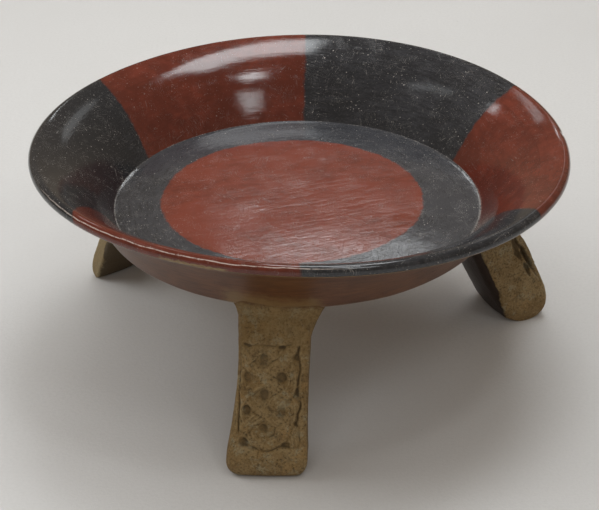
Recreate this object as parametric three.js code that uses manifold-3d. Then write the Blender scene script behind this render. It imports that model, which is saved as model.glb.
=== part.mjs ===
import * as THREE from 'three';
import { mergeVertices } from 'three/addons/utils/BufferGeometryUtils.js';
import Module from 'manifold-3d';

// Tripod plate of hand-built, slip-painted earthenware: a shallow bowl on three slab supports.
// Lengths are millimetres, +Z is up, and the origin is on the table under the middle of the bowl.

const wasm = await Module();
wasm.setup();

const degree = Math.PI / 180;

// Bowl
const plateHeight = 104; // middle height of the rim, which is uneven
const floorDiameter = 164.6; // inside, at the ridge where the wall starts
const floorDepth = 31.2; // top of the rim down to the inside of the floor
const floorThickness = 6.2;
const baseTurnIn = 12.3; // from that ridge in to the level part of the underside
const wallReach = 37.7; // from that ridge out to the widest point of the lip
const wallThickness = 5.8;
const wallFootAngle = 58 * degree; // slope of the wall where it leaves the floor
const wallLipAngle = 22 * degree; // slope of the wall where it reaches the lip
const wallFootPull = 18; // how far the steep slope holds above the floor
const wallLipPull = 16; // how far the shallow slope holds inside the lip
const ridgeHeight = 0.7; // low ridge left where floor and wall were luted together
const ridgeWidth = 4;
const rimCoilWidth = 11; // rolled lip coil, measured along the wall
const seamGap = 0.3; // hairline left between pieces that seat on each other

// The wall dried unevenly, so the rim leans to one side and bends like a saddle
const rimLean = 2.3; // how far the high side of the lean stands above the middle
const rimLeanBearing = 231 * degree;
const rimBend = 2.1; // how far the two high sides of the bend stand above the middle
const rimBendBearing = 69.4 * degree;
const bendReach = 7.7; // outwards from the ridge to where the wall starts to lean and bend

// Supports
const footWidth = 34.6;
const headWidth = 30.6;
const leftEdgeRound = 4; // outer corners, as seen from outside
const rightEdgeRound = 2.2;
const frontCrown = 0.8; // how far the middle of the outer face stands proud of its edges
const backCrown = 1.8;
const footCornerRound = 4;
const innerToeRound = 2;

// Stamped panel on the outer face of each support, from the top of its rolled toe upwards
const panelLength = 43.7;
const panelWidth = 25;
const panelShift = -1.2; // the stamp was set towards the left edge, as seen from outside
const plaitShift = -3.3; // middle of the plait, from the middle of the face
const panelSag = 2.5; // how far the lower groove dips in the middle
const grooveWidth = 1.6;
const grooveDepth = 1.6; // below the middle of the crowned face
const pitDiameter = 3.6;
const pitDepth = 1.2;
const pitSpread = 15.1; // between the two outer columns of pits
const pitRows = 7;
const lastPitRow = 5.2; // lowest row, above the foot of the panel

// Luting clay round the head of each support
const lutingSpread = 4.6; // how far it reaches over the underside of the bowl
const lutingDrop = 8; // how far it runs down the support
const lutingEdge = 0.9; // thickness left at its lower edge

// Each support was cut and set by hand. Its toe rolls up from under the foot (run) to the outer face
// (rise). The middle of its head lies outside the floor's ridge by its reach, or inside it where the
// reach is negative. Bearings turn from +X towards +Y, and the lean is from upright.
const frontThickness = 19;
const frontBackRound = 5;
const frontToeRun = 8;
const frontToeRise = 10.8;
const frontHeadReach = -5.25;
const frontLean = 24 * degree;
const frontBearing = -97.7 * degree;
const frontFaceBearing = -92.4 * degree;

const rightThickness = 27.5;
const rightBackRound = 8;
const rightToeRun = 16;
const rightToeRise = 20;
const rightHeadReach = -3.3;
const rightLean = 23.6 * degree;
const rightBearing = 16.6 * degree;
const rightFaceBearing = 24 * degree;

const leftThickness = 10;
const leftBackRound = 1.8;
const leftToeRun = 4.5;
const leftToeRise = 7.5;
const leftHeadReach = 6.95;
const leftLean = 21 * degree;
const leftBearing = 142.1 * degree;
const leftFaceBearing = 131 * degree;

const supports = [
  {
    name: 'front',
    thickness: frontThickness,
    backRound: frontBackRound,
    toeRun: frontToeRun,
    toeRise: frontToeRise,
    headReach: frontHeadReach,
    lean: frontLean,
    bearing: frontBearing,
    faceBearing: frontFaceBearing,
  },
  {
    name: 'right',
    thickness: rightThickness,
    backRound: rightBackRound,
    toeRun: rightToeRun,
    toeRise: rightToeRise,
    headReach: rightHeadReach,
    lean: rightLean,
    bearing: rightBearing,
    faceBearing: rightFaceBearing,
  },
  {
    name: 'left',
    thickness: leftThickness,
    backRound: leftBackRound,
    toeRun: leftToeRun,
    toeRise: leftToeRise,
    headReach: leftHeadReach,
    lean: leftLean,
    bearing: leftBearing,
    faceBearing: leftFaceBearing,
  },
];

// Facets
const turnSteps = 72;
const wallSteps = 5;
const lipSteps = 3;
const turnInSteps = 4;
const sectionSteps = 3;
const slabSteps = 6;
const lutingSteps = 5;
const seatPasses = 4;
const pitSides = 8;
const pitRings = 4;
const overrun = 5; // how far a cutting solid runs past what it cuts

// Finishes
const blackSlip = new THREE.MeshStandardMaterial({ color: 0x33302f, roughness: 0.38, metalness: 0 });
const redSlip = new THREE.MeshStandardMaterial({ color: 0x7a3527, roughness: 0.42, metalness: 0 });
const bareClay = new THREE.MeshStandardMaterial({ color: 0x9a7f58, roughness: 0.85, metalness: 0 });
const lutingClay = new THREE.MeshStandardMaterial({ color: 0x8f7355, roughness: 0.8, metalness: 0 });

// Solids for cutting and back again

function toSolid(geometry) {
  const bare = geometry.clone();
  bare.deleteAttribute('normal');
  bare.deleteAttribute('uv');
  const merged = mergeVertices(bare);
  const corners = merged.index.array;
  const kept = [];
  for (let i = 0; i < corners.length; i += 3) {
    const [a, b, c] = corners.subarray(i, i + 3);
    if (a !== b && b !== c && c !== a) kept.push(a, b, c);
  }
  const vertProperties = new Float32Array(merged.attributes.position.array);
  return new wasm.Manifold(new wasm.Mesh({ numProp: 3, vertProperties, triVerts: new Uint32Array(kept) }));
}

function toGeometry(solid) {
  const { vertProperties, triVerts } = solid.getMesh();
  const geometry = new THREE.BufferGeometry();
  geometry.setAttribute('position', new THREE.BufferAttribute(vertProperties, 3));
  geometry.setIndex(new THREE.BufferAttribute(triVerts, 1));
  geometry.computeVertexNormals();
  return geometry;
}

// Bowl section: x is the radius and y the height

const floorRadius = floorDiameter / 2;
const rimRadius = floorRadius + wallReach;
const floorLevel = plateHeight - floorDepth;
const baseLevel = floorLevel - floorThickness;
const lipRadius = wallThickness / 2;
const lipCentre = new THREE.Vector2(rimRadius - lipRadius, plateHeight - lipRadius);

const ridgeTop = new THREE.Vector2(floorRadius, floorLevel + ridgeHeight);
const lipStart = new THREE.Vector2(
  lipCentre.x - lipRadius * Math.sin(wallLipAngle),
  lipCentre.y + lipRadius * Math.cos(wallLipAngle),
);
const wallLine = new THREE.CubicBezierCurve(
  ridgeTop,
  new THREE.Vector2(
    ridgeTop.x + wallFootPull * Math.cos(wallFootAngle),
    ridgeTop.y + wallFootPull * Math.sin(wallFootAngle),
  ),
  new THREE.Vector2(
    lipStart.x - wallLipPull * Math.cos(wallLipAngle),
    lipStart.y - wallLipPull * Math.sin(wallLipAngle),
  ),
  lipStart,
);
const wallLength = wallLine.getLength();
const coilStart = 1 - rimCoilWidth / wallLength;

// A point of the wall: u runs from 0 at the floor to 1 at the lip, and depth goes in from the inner face
function wallPoint(u, depth, slide = 0) {
  const place = wallLine.getPointAt(u);
  const along = wallLine.getTangentAt(u);
  const through = new THREE.Vector2(along.y, -along.x);
  return place.addScaledVector(through, depth).addScaledVector(along, slide);
}

function wallStretch(depth) {
  const points = [];
  for (let i = 0; i <= wallSteps; i += 1) points.push(wallPoint((coilStart * i) / wallSteps, depth));
  return points;
}

// The underside turns in from the wall to the level base
function turnIn(clearance) {
  const start = wallPoint(0, wallThickness + clearance, -seamGap);
  const along = wallLine.getTangentAt(0);
  const level = baseLevel - clearance;
  const corner = start.clone().addScaledVector(along, (level - start.y) / along.y);
  const end = new THREE.Vector2(floorRadius - baseTurnIn, level);
  return new THREE.QuadraticBezierCurve(start, corner, end).getPoints(turnInSteps);
}

function lipArc(radius, from, to, steps) {
  const points = [];
  for (let i = 0; i <= steps; i += 1) {
    const angle = from + ((to - from) * i) / steps;
    points.push(new THREE.Vector2(
      lipCentre.x + radius * Math.cos(angle),
      lipCentre.y + radius * Math.sin(angle),
    ));
  }
  return points;
}

// Under side of the lip, from the wall's outer face to its widest point
function lipUnder(clearance) {
  return lipArc(lipRadius + clearance, wallLipAngle - Math.PI / 2, 0, lipSteps);
}

// Upper side of the lip, from its widest point over the top to the wall's inner face
function lipOver() {
  const top = lipArc(lipRadius, 0, Math.PI / 2, lipSteps).slice(1);
  return [...top, lipStart];
}

// How far the uneven rim lifts or drops the wall at a place in plan
function rimRise(x, y) {
  const start = floorRadius + bendReach;
  const fade = THREE.MathUtils.smoothstep(Math.hypot(x, y), start, rimRadius);
  const turn = Math.atan2(y, x);
  const lean = rimLean * Math.cos(turn - rimLeanBearing);
  const bend = rimBend * Math.cos(2 * (turn - rimBendBearing));
  return fade * (lean + bend);
}

function lathe(points) {
  const geometry = new THREE.LatheGeometry(points, turnSteps).rotateX(Math.PI / 2);
  const places = geometry.attributes.position;
  for (let i = 0; i < places.count; i += 1) {
    places.setZ(i, places.getZ(i) + rimRise(places.getX(i), places.getY(i)));
  }
  return geometry;
}

function closed(points) {
  return [...points, points[0].clone()];
}

function floorDisc() {
  return lathe([
    new THREE.Vector2(0, baseLevel),
    ...turnIn(0).reverse(),
    wallPoint(0, 0, -seamGap),
    new THREE.Vector2(ridgeTop.x - ridgeWidth, floorLevel),
    new THREE.Vector2(0, floorLevel),
  ]);
}

function wallRing() {
  return lathe(closed([...wallStretch(wallThickness), ...wallStretch(0).reverse()]));
}

function rimCoil() {
  const from = coilStart + seamGap / wallLength;
  const outside = wallPoint(from, wallThickness);
  const inside = wallPoint(from, 0);
  return lathe(closed([outside, ...lipUnder(0), ...lipOver(), inside]));
}

// Everything above the underside of the bowl, grown by a clearance
function bowlEnvelope(clearance) {
  const beyond = 2 * rimRadius;
  return toSolid(lathe([
    new THREE.Vector2(0, baseLevel - clearance),
    ...turnIn(clearance).reverse(),
    ...wallStretch(wallThickness + clearance),
    ...lipUnder(clearance),
    new THREE.Vector2(beyond, lipCentre.y),
    new THREE.Vector2(beyond, plateHeight + 2 * overrun),
    new THREE.Vector2(0, plateHeight + 2 * overrun),
  ]));
}

// Height of the underside of the bowl at a radius
const undersideLine = [
  new THREE.Vector2(0, baseLevel),
  ...turnIn(0).reverse(),
  ...wallStretch(wallThickness),
  ...lipUnder(0),
];

function undersideAt(radius) {
  const next = undersideLine.findIndex((point) => point.x > radius);
  if (next < 1) return undersideLine[undersideLine.length - 1].y;
  const low = undersideLine[next - 1];
  const high = undersideLine[next];
  return low.y + ((high.y - low.y) * (radius - low.x)) / (high.x - low.x);
}

// Level section of a support: x points out of its outer face and y across it
function supportSection({ thickness, backRound }, growth) {
  const out = thickness / 2 + growth;
  const side = headWidth / 2 + growth;
  const front = out - frontCrown;
  const back = backCrown - out;
  const section = new THREE.Shape();
  section.moveTo(front, leftEdgeRound - side);
  section.quadraticCurveTo(out + frontCrown, 0, front, side - rightEdgeRound);
  section.quadraticCurveTo(front, side, front - rightEdgeRound, side);
  section.lineTo(back + backRound, side);
  section.quadraticCurveTo(back, side, back, side - backRound);
  section.quadraticCurveTo(-out - backCrown, 0, back, backRound - side);
  section.quadraticCurveTo(back, -side, back + backRound, -side);
  section.lineTo(front - leftEdgeRound, -side);
  section.quadraticCurveTo(front, -side, front, leftEdgeRound - side);
  return section;
}

// A support is shaped upright, with x out of its outer face, y across it and its foot's middle at zero.
// Its frame leans it outwards, turns its face and stands it in its place.
function supportFrame({ headReach, lean, bearing, faceBearing }) {
  const slope = Math.tan(lean);
  const twist = bearing - faceBearing;
  const footDistance = floorRadius + headReach + baseLevel * slope;
  const place = new THREE.Matrix4()
    .makeRotationZ(faceBearing)
    .setPosition(footDistance * Math.cos(bearing), footDistance * Math.sin(bearing), 0);
  const outwards = -slope * Math.cos(twist);
  const sideways = -slope * Math.sin(twist);
  const leaning = new THREE.Matrix4().makeShear(0, 0, 0, 0, outwards, sideways);
  return place.multiply(leaning);
}

function upright(shape, depth, steps) {
  return new THREE.ExtrudeGeometry(shape, { depth, steps, curveSegments: sectionSteps, bevelEnabled: false });
}

// Slab with its crowned faces and its width, which flares towards the foot
function slabBody(support, growth) {
  const slab = upright(supportSection(support, growth), plateHeight + overrun, slabSteps);
  const points = slab.attributes.position;
  for (let i = 0; i < points.count; i += 1) {
    const flare = Math.max(0, 1 - points.getZ(i) / baseLevel) ** 2;
    points.setY(i, points.getY(i) * (1 + (footWidth / headWidth - 1) * flare));
  }
  return toSolid(slab);
}

// Side view of the slab: the inner edge is nearly square and the toe rolls up at the outside
function toeProfile({ thickness, toeRun, toeRise }) {
  const side = thickness / 2;
  const top = plateHeight + overrun;
  const outline = new THREE.Shape();
  outline.moveTo(innerToeRound - side, 0);
  outline.lineTo(side - toeRun, 0);
  outline.quadraticCurveTo(side, 0, side, toeRise);
  outline.lineTo(side, top);
  outline.lineTo(-side, top);
  outline.lineTo(-side, innerToeRound);
  outline.quadraticCurveTo(-side, 0, innerToeRound - side, 0);
  const depth = footWidth + headWidth;
  return toSolid(upright(outline, depth, 1).rotateX(Math.PI / 2).translate(0, depth / 2, 0));
}

// Front view of the slab: the two lower corners of the foot are rounded
function footOutline({ thickness }) {
  const side = footWidth / 2;
  const top = plateHeight + overrun;
  const outline = new THREE.Shape();
  outline.moveTo(footCornerRound - side, 0);
  outline.lineTo(side - footCornerRound, 0);
  outline.quadraticCurveTo(side, 0, side, footCornerRound);
  outline.lineTo(side, top);
  outline.lineTo(-side, top);
  outline.lineTo(-side, footCornerRound);
  outline.quadraticCurveTo(-side, 0, footCornerRound - side, 0);
  const depth = thickness + 2 * overrun;
  return toSolid(
    upright(outline, depth, 1).rotateX(Math.PI / 2).rotateZ(Math.PI / 2).translate(-depth / 2, 0, 0),
  );
}

// Turns a shape drawn across and up the outer face to stand on that face
function ontoFace(geometry, thickness) {
  return toSolid(geometry.rotateX(Math.PI / 2).rotateZ(Math.PI / 2).translate(thickness / 2, 0, 0));
}

function panelOutline(Path, inset) {
  const left = panelShift - panelWidth / 2 + inset;
  const right = panelShift + panelWidth / 2 - inset;
  const top = panelLength - inset;
  const bottom = inset;
  const outline = new Path();
  outline.moveTo(left, bottom);
  outline.quadraticCurveTo(panelShift, bottom - 2 * panelSag, right, bottom);
  outline.lineTo(right, top);
  outline.lineTo(left, top);
  outline.lineTo(left, bottom);
  return outline;
}

// Groove that frames the stamped panel
function panelGroove({ thickness, toeRise }) {
  const ring = panelOutline(THREE.Shape, 0);
  ring.holes.push(panelOutline(THREE.Path, grooveWidth));
  const groove = upright(ring, grooveDepth + overrun, 1).translate(0, toeRise, -grooveDepth);
  return ontoFace(groove, thickness);
}

// Pits left between the crossing strands of the plait: two, then one, then two, up the panel
function panelPits({ thickness, toeRise }) {
  const spacing = (panelLength - grooveWidth - lastPitRow) / (pitRows - 1);
  const pits = [];
  for (let row = 0; row < pitRows; row += 1) {
    const places = row % 2 === 0 ? [-pitSpread / 2, pitSpread / 2] : [0];
    for (const place of places) {
      const pit = new THREE.SphereGeometry(pitDiameter / 2, pitSides, pitRings)
        .rotateX(Math.PI / 2)
        .scale(1, 1, (2 * pitDepth) / pitDiameter)
        .translate(plaitShift + place, toeRise + lastPitRow + row * spacing, 0);
      pits.push(ontoFace(pit, thickness));
    }
  }
  return pits;
}

const bowlKeepOut = bowlEnvelope(seamGap);

function slabSupport(support) {
  let slab = slabBody(support, 0)
    .intersect(toeProfile(support))
    .intersect(footOutline(support))
    .subtract(panelGroove(support));
  for (const pit of panelPits(support)) slab = slab.subtract(pit);
  const standing = toGeometry(slab).applyMatrix4(supportFrame(support));
  return toGeometry(toSolid(standing).subtract(bowlKeepOut));
}

// Clay smeared round the head of a support: widest against the bowl, thin where it runs out
function lutingCollar(support) {
  const collar = upright(supportSection(support, 0), 1, lutingSteps);
  const frame = supportFrame(support);
  const points = collar.attributes.position;
  const point = new THREE.Vector3();
  for (let i = 0; i < points.count; i += 1) {
    const drop = lutingDrop - (lutingDrop + lutingSpread) * points.getZ(i);
    const fade = (1 - drop / lutingDrop) ** 2;
    const growth = lutingEdge + (lutingSpread - lutingEdge) * fade;
    const x = points.getX(i) * (1 + (2 * growth) / support.thickness);
    const y = points.getY(i) * (1 + (2 * growth) / headWidth);
    let height = baseLevel;
    for (let pass = 0; pass < seatPasses; pass += 1) {
      point.set(x, y, height).applyMatrix4(frame);
      height = undersideAt(Math.hypot(point.x, point.y)) + rimRise(point.x, point.y) - drop;
    }
    points.setXYZ(i, point.x, point.y, height);
  }
  const hole = toSolid(toGeometry(slabBody(support, seamGap)).applyMatrix4(frame));
  return toGeometry(toSolid(collar).subtract(hole).subtract(bowlKeepOut));
}

function piece(name, geometry, material) {
  const mesh = new THREE.Mesh(geometry, material);
  mesh.name = name;
  return mesh;
}

const plate = new THREE.Group();
plate.add(piece('floor_disc', floorDisc(), redSlip));
plate.add(piece('wall_ring', wallRing(), blackSlip));
plate.add(piece('rim_coil', rimCoil(), blackSlip));
for (const support of supports) {
  plate.add(piece(`support_${support.name}`, slabSupport(support), bareClay));
  plate.add(piece(`luting_${support.name}`, lutingCollar(support), lutingClay));
}

export default plate;
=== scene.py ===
"""Looks of the tripod plate: painted bowl, stamped slab supports, and the stage it is shown on."""

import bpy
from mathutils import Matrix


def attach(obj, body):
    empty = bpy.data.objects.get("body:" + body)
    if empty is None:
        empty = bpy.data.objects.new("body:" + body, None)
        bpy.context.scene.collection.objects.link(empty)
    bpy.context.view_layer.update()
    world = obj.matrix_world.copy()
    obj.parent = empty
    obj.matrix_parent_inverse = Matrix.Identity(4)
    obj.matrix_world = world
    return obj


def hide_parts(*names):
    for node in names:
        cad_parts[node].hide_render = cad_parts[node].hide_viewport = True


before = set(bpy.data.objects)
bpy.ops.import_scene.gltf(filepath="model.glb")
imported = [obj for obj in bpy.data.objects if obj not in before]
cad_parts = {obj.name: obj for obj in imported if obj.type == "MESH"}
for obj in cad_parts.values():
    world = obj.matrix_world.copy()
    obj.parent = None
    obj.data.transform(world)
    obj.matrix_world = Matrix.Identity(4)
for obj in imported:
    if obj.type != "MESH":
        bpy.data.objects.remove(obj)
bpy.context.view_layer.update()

import itertools
import math

import bmesh
import bpy
import numpy as np
from bpy.props import FloatProperty, FloatVectorProperty, IntProperty, PointerProperty
from mathutils import Matrix, Vector

bl_info = {
    "name": "Tripod plate",
    "version": (1, 0, 0),
    "blender": (4, 5, 0),
    "location": "View3D > Sidebar > Plate",
    "description": "Builds the painted bowl, its stamped supports and the stage",
    "category": "Object",
}

MM = 0.001
DEGREE = math.pi / 180
# The floor's ridge was luted this far to the left of the middle, in millimetres
RIDGE_SHIFT = 1.1


def length(name, description, default):
    """A size in the scene's metres, given here in millimetres."""
    return FloatProperty(
        name=name, description=description, default=default * MM, unit="LENGTH", precision=5
    )


def angle(name, description, default):
    """An angle in radians, given here in degrees."""
    return FloatProperty(
        name=name, description=description, default=default * DEGREE, subtype="ANGLE", unit="ROTATION"
    )


def colour(name, description, default):
    """A colour in linear light."""
    return FloatVectorProperty(
        name=name, description=description, default=default, subtype="COLOR", size=3, min=0.0, max=1.0
    )


class BowlShape(bpy.types.PropertyGroup):
    """Sizes of the hand-built bowl."""

    floor_radius: length("Floor radius", "From the middle to the ridge where the wall starts", 82.3)
    floor_level: length("Floor level", "Height of the inside of the floor", 72.8)
    base_level: length("Base level", "Height of the level part of the underside", 66.6)
    base_radius: length("Base radius", "Radius of the level part of the underside", 70.0)
    ridge_height: length("Ridge height", "Low ridge where floor and wall were luted together", 0.3)
    wall_thickness: length("Wall thickness", "Thickness of the wall", 5.8)
    lip_radius: length("Lip radius", "Roundness of the rolled lip", 2.75)
    lip_reach: length("Lip reach", "From the middle of the bowl to the middle of the lip's roll", 116.95)
    lip_level: length("Lip level", "Height of the middle of the lip's roll", 101.1)
    coil_width: length("Lip coil width", "Width of the last coil, measured along the wall", 11.0)
    rim_lean: length("Rim lean", "How far the high side of the rim stands above the middle", 2.3)
    rim_lean_bearing: angle("Rim lean bearing", "Which side of the rim is high", 231)
    rim_bend: length("Rim bend", "How far the two high sides of the bend stand above the middle", 2.1)
    rim_bend_bearing: angle("Rim bend bearing", "Bearing of one high side of the bend", 69.4)
    unevenness: length("Unevenness", "How far the hand-smoothed surface wanders", 0.28)
    turn_steps: IntProperty(name="Steps round", description="Facets round the bowl", default=320, min=48)


class StampShape(bpy.types.PropertyGroup):
    """Sizes of the plait stamped on the supports."""

    row_height: length("Row height", "From one row of the plait's gaps to the next", 6.5)
    swing: length("Swing", "How far a strand swings to each side of the plait's middle", 11.6)
    strand_width: length("Strand width", "Width of a strand", 5.3)
    line_spacing: length("Line spacing", "Between the fine lines that run along a strand", 1.45)
    ground_depth: length("Ground depth", "How far the ground lies below the strands", 0.75)
    gap_depth: length("Gap depth", "Depth of the pits between the strands", 1.3)
    border_depth: length("Border depth", "Depth of the groove that frames the plait", 1.5)
    border_reach: length("Border reach", "From the plait's middle to the groove that frames it", 14.5)


def support_group(name, where, thickness, toe, rounds, slip, head_reach, turns, stamp):
    """Sizes of one support. toe is its run and rise, rounds are its left, right and back corners,
    slip its reach and cover, turns its lean, bearing and face bearing, and stamp its lowest row,
    middle and left border."""
    notes = {
        "thickness": length("Thickness", "Thickness of the slab", thickness),
        "toe_run": length("Toe run", "How far the rolled toe falls back", toe[0]),
        "toe_rise": length("Toe rise", "Height at which the toe starts to roll back", toe[1]),
        "left_round": length("Left corner", "Roundness of the outer corner at the left", rounds[0]),
        "right_round": length("Right corner", "Roundness of the outer corner at the right", rounds[1]),
        "back_round": length("Back corners", "Roundness of the two inner corners", rounds[2]),
        "heel_round": length("Heel", "Roundness of the inner edge of the foot", rounds[3]),
        "inner_bulge": length("Inner bulge", "How far the inner face swells at mid-height", rounds[4]),
        "slip_reach": length("Slip reach", "How far its slip comes round the corners", slip[0]),
        "slip_share": FloatProperty(
            name="Slip cover", description="How well the slip covers", default=slip[1], min=0.0, max=1.0
        ),
        "head_reach": length("Head reach", "From the ridge to the middle of the head", head_reach),
        "lean": angle("Lean", "How far the support leans outwards", turns[0]),
        "bearing": angle("Bearing", "Where the support stands round the bowl", turns[1]),
        "face_bearing": angle("Face bearing", "Which way its outer face is turned", turns[2]),
        "stamp_base": length("Stamp base", "Height of the lowest row of the stamp", stamp[0]),
        "stamp_middle": length("Stamp middle", "How far the stamp's middle is to the right", stamp[1]),
        "stamp_left": length("Stamp left", "From the stamp's middle to its left border", stamp[2]),
    }
    about = {"__doc__": f"Sizes of the {where} support.", "__annotations__": notes}
    return type(name, (bpy.types.PropertyGroup,), about)


FrontSupport = support_group(
    "FrontSupport", "front", thickness=19, toe=(8, 10.8), rounds=(4.5, 2.4, 5, 2, 0),
    slip=(3.3, 1.0), head_reach=-5.25, turns=(24, -97.7, -92.4), stamp=(14.9, -2.65, 11.4),
)
RightSupport = support_group(
    "RightSupport", "right", thickness=28.5, toe=(14.5, 19), rounds=(3.5, 3, 4.5, 4.5, 1.35),
    slip=(3.3, 1.0), head_reach=-2.8, turns=(23.6, 16.6, 24), stamp=(17.8, -4.1, 14.0),
)
LeftSupport = support_group(
    "LeftSupport", "left", thickness=11.3, toe=(6, 13), rounds=(3, 3, 1.8, 2, 0.3),
    slip=(3.4, 0.75), head_reach=6.5, turns=(21, 142.1, 131), stamp=(14.9, -2, 14.5),
)


class Colours(bpy.types.PropertyGroup):
    """Colours of slip and clay."""

    red: colour("Red slip", "Burnished red slip", (0.165, 0.034, 0.020))
    red_dark: colour("Dark red slip", "Where the red slip is thick", (0.085, 0.018, 0.011))
    black: colour("Black slip", "Burnished black slip", (0.016, 0.017, 0.020))
    # Also painted sheen: its pale bluish tone brightens the black ring on the floor
    black_pale: colour("Pale black slip", "Where that slip is thin or rubbed", (0.042, 0.043, 0.049))
    underside: colour("Underside slip", "Thin brown slip under the bowl", (0.075, 0.024, 0.007))
    underside_pale: colour("Pale underside slip", "Where that slip is thinnest", (0.140, 0.052, 0.018))
    clay: colour("Clay", "Fired buff clay", (0.198, 0.124, 0.049))
    clay_pale: colour("Pale clay", "Rubbed buff clay", (0.31, 0.225, 0.112))
    clay_ochre: colour("Ochre clay", "Ochre blotches in the clay", (0.29, 0.175, 0.065))
    clay_stain: colour("Stained clay", "Dull blotches in the clay", (0.115, 0.080, 0.040))
    clay_ash: colour("Ashen clay", "Greyish blotches in the clay", (0.33, 0.31, 0.21))
    # Painted shade: the clay darkens at the supports' heads, under the bowl
    clay_head: colour("Clay near the bowl", "Painted shade on the clay at the supports' heads", (0.15, 0.090, 0.030))
    # Painted light: the left support is made paler where light from the left falls on it
    clay_left: colour("Left support", "Painted light on the clay of the left support", (0.36, 0.29, 0.17))
    # Dirt in flecks and pits, and painted shade in the stamped hollows and chips
    soot: colour("Soot", "Dirt in flecks and pits, and painted shade in the stamped hollows", (0.040, 0.025, 0.011))
    dark_slip: colour("Inner face slip", "Dark slip inside the supports", (0.024, 0.013, 0.008))
    dark_slip_pale: colour("Pale inner face slip", "Where that slip is thin", (0.052, 0.030, 0.020))
    rubbed: colour("Rubbed spots", "Pale spots and scratches", (0.40, 0.37, 0.34))
    # Painted highlight: a pale line along the near crest of the lip
    crest: colour("Painted crest highlight", "Highlight painted along the top of the lip", (0.72, 0.62, 0.56))


class StageSetting(bpy.types.PropertyGroup):
    """Floor, lamps and camera."""

    floor: colour("Floor colour", "Pale floor", (0.62, 0.61, 0.60))
    soft_power: FloatProperty(
        name="Soft power", description="Power that the broad lamps share", default=4.4, unit="POWER"
    )
    panel_power: FloatProperty(
        name="Panel power", description="Power that the small lamps share", default=4.6, unit="POWER"
    )
    lamp: colour("Lamp colour", "Colour of every lamp", (0.935, 0.975, 1.0))
    sky_light: FloatProperty(name="Sky light", description="Light from all round", default=0.23, min=0.0)
    sky: colour("Sky colour", "Colour of the light from all round", (1.0, 0.80, 0.58))
    focal_length: FloatProperty(
        name="Focal length", description="Of the camera, in millimetres", default=120.2,
        subtype="DISTANCE_CAMERA", unit="CAMERA",
    )


def sizes(group):
    """A group's lengths in millimetres and its other values as they are."""
    found = {}
    for key in group.__annotations__:
        prop = group.bl_rna.properties[key]
        value = getattr(group, key)
        found[key] = value / MM if getattr(prop, "unit", "") == "LENGTH" else value
    return type("Sizes", (), found)


# Shapes

def lumps(places, size, seed):
    """Smooth random bumps from -1 to 1, each about size across, at places in millimetres."""
    table = np.random.default_rng(seed).uniform(-1, 1, (32, 32, 32))
    grid = places / size + 100
    base = np.floor(grid).astype(int)
    part = grid - base
    part = part * part * (3 - 2 * part)
    total = np.zeros(len(places))
    for corner in itertools.product((0, 1), repeat=3):
        cell = (base + corner) % 32
        share = np.prod(np.where(np.array(corner) == 1, part, 1 - part), axis=1)
        total += share * table[cell[:, 0], cell[:, 1], cell[:, 2]]
    return total


def ease(value, low, high):
    """0 below low, 1 above high, and smooth between them."""
    part = np.clip((value - low) / (high - low), 0, 1)
    return part * part * (3 - 2 * part)


def bell(off, width):
    """1 where off is 0, and next to nothing beyond two widths from it."""
    return np.exp(-((off / width) ** 2))


def bezier(points, steps):
    """A curve through the first and the last of three or four points, drawn towards the others."""
    t = np.linspace(0, 1, steps)[:, None]
    points = [np.array(p, float) for p in points]
    if len(points) == 3:
        weights = ((1 - t) ** 2, 2 * t * (1 - t), t * t)
    else:
        weights = ((1 - t) ** 3, 3 * t * (1 - t) ** 2, 3 * t * t * (1 - t), t ** 3)
    return sum(w * p for w, p in zip(weights, points))


def arc(centre, radius, start, end, steps):
    t = np.linspace(start, end, steps)
    return np.stack([centre[0] + radius * np.cos(t), centre[1] + radius * np.sin(t)], 1)


def line(start, end, steps):
    return np.linspace(start, end, steps)


def spun(name, outline, steps, ring=False):
    """Spins an outline of (radius, height) round the upright axis. A ring's outline is closed."""
    bm = bmesh.new()
    verts = [bm.verts.new((float(r) * MM, 0, float(z) * MM)) for r, z in outline]
    edges = [bm.edges.new(pair) for pair in zip(verts, verts[1:])]
    if ring:
        edges.append(bm.edges.new((verts[-1], verts[0])))
    bmesh.ops.spin(
        bm, geom=verts + edges, cent=(0, 0, 0), axis=(0, 0, 1), angle=math.tau, steps=steps,
        use_merge=True,
    )
    bmesh.ops.remove_doubles(bm, verts=bm.verts, dist=1e-7)
    bmesh.ops.recalc_face_normals(bm, faces=bm.faces)
    mesh = bpy.data.meshes.new(name)
    bm.to_mesh(mesh)
    bm.free()
    return mesh


def places_of(mesh):
    """Vertices of a mesh in millimetres."""
    flat = np.empty(len(mesh.vertices) * 3)
    mesh.vertices.foreach_get("co", flat)
    return flat.reshape(-1, 3) / MM


def move_to(mesh, places):
    """Sets a mesh's vertices to places in millimetres."""
    mesh.vertices.foreach_set("co", (places * MM).ravel())
    mesh.update()


def note(mesh, name, values):
    """Keeps one number for each vertex, for the finish to read."""
    layer = mesh.attributes.new(name, "FLOAT", "POINT")
    layer.data.foreach_set("value", np.asarray(values, float))


def smooth_shaded(mesh, crease):
    """Smooth shading, with edges sharper than crease kept."""
    bm = bmesh.new()
    bm.from_mesh(mesh)
    bmesh.ops.recalc_face_normals(bm, faces=bm.faces)
    for face in bm.faces:
        face.smooth = True
    for edge in bm.edges:
        edge.smooth = not (edge.is_manifold and edge.calc_face_angle() > crease)
    bm.to_mesh(mesh)
    bm.free()


def finished(mesh, material, nodes):
    """Puts a finished mesh in the scene, standing for its CAD nodes."""
    piece = bpy.data.objects.new(mesh.name, mesh)
    bpy.context.scene.collection.objects.link(piece)
    mesh.materials.append(material)
    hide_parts(*nodes)
    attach(piece, "root")


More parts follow.
